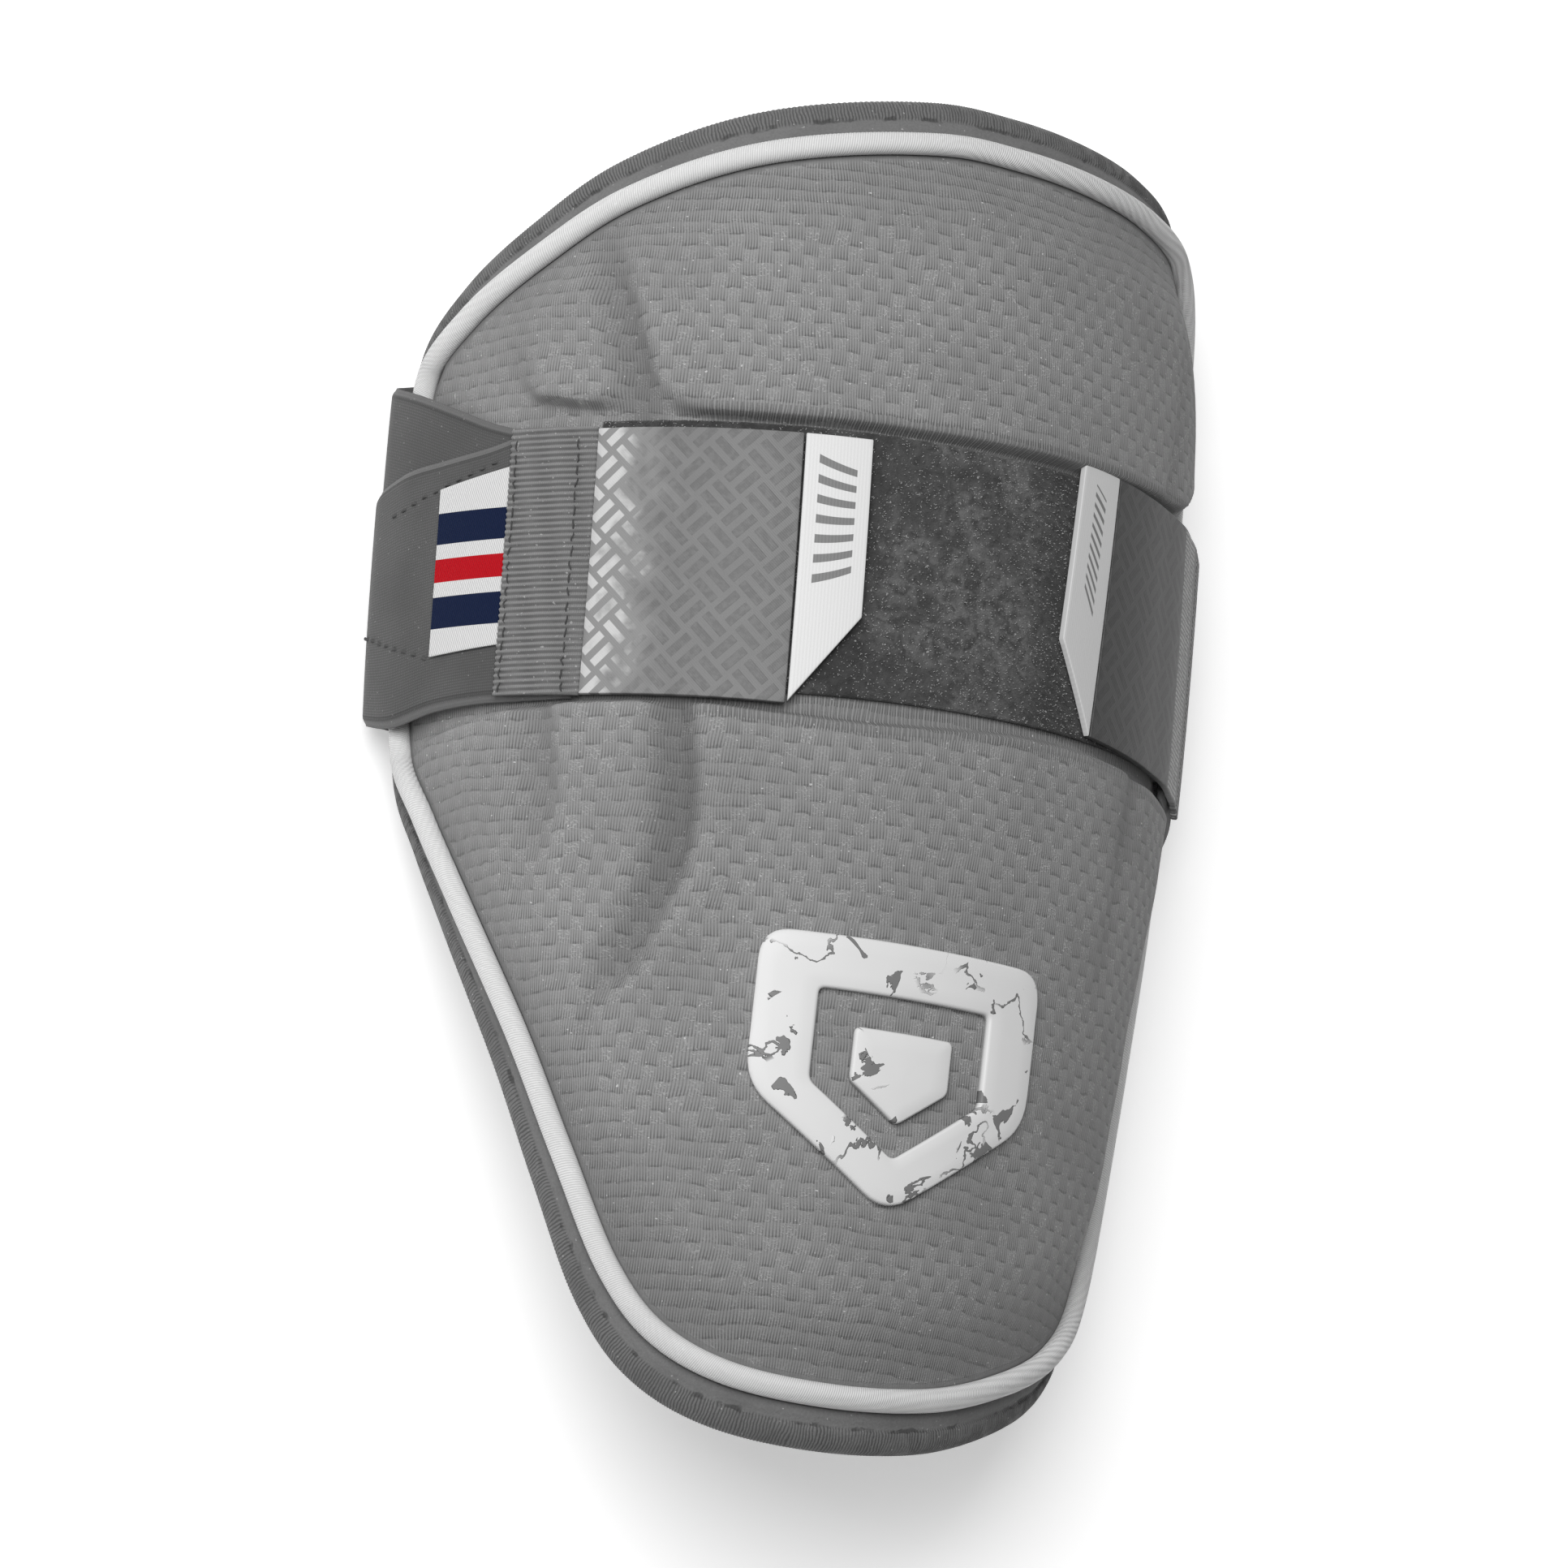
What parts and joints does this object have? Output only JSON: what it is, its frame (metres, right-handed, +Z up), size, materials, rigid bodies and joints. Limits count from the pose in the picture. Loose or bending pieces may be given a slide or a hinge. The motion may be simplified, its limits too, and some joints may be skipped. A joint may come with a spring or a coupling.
{
  "type": "baseball elbow guard",
  "caption": "Curved padded shell for the outside of an elbow, with piping round the rim, a raised emblem and two elastic bands closed by hook tabs in a channel.",
  "frame": {"origin": "middle of the guard on the surface it rests on", "axes": "+Y along the arm towards the upper arm, +Z up out of the crown, +X to the right seen from above"},
  "size_m": [0.1476, 0.224, 0.0734],
  "materials": {
    "shell_cloth": "woven grey cloth over foam",
    "binding_tape": "ribbed knit tape",
    "piping_cord": "white woven cord",
    "loop_cloth": "dark brushed loop cloth",
    "elastic": "knitted elastic",
    "ribbon": "ribbed grosgrain",
    "label_cloth": "white woven satin with plain stripes",
    "printed_tab": "smooth coated cloth, tone-on-tone print",
    "white_tip": "smooth white print",
    "dark_printed_tab": "smooth coated cloth, dark tone-on-tone print",
    "emblem": "raised white rubbery print, worn through in cracks"
  },
  "bodies": {
    "root": {"padded_shell": "shell_cloth", "edge_binding": "binding_tape", "piping": "piping_cord", "loop_panel": "loop_cloth", "upper_elastic_band": "elastic", "lower_elastic_band": "elastic", "ribbon_end": "ribbon", "woven_label": "label_cloth", "left_hook_tab": "printed_tab", "left_tab_tip": "white_tip", "right_hook_tab": "dark_printed_tab", "right_tab_tip": "white_tip", "right_tab_hem": "elastic", "emblem_outline": "emblem", "emblem_plate": "emblem"}
  },
  "joints": []
}
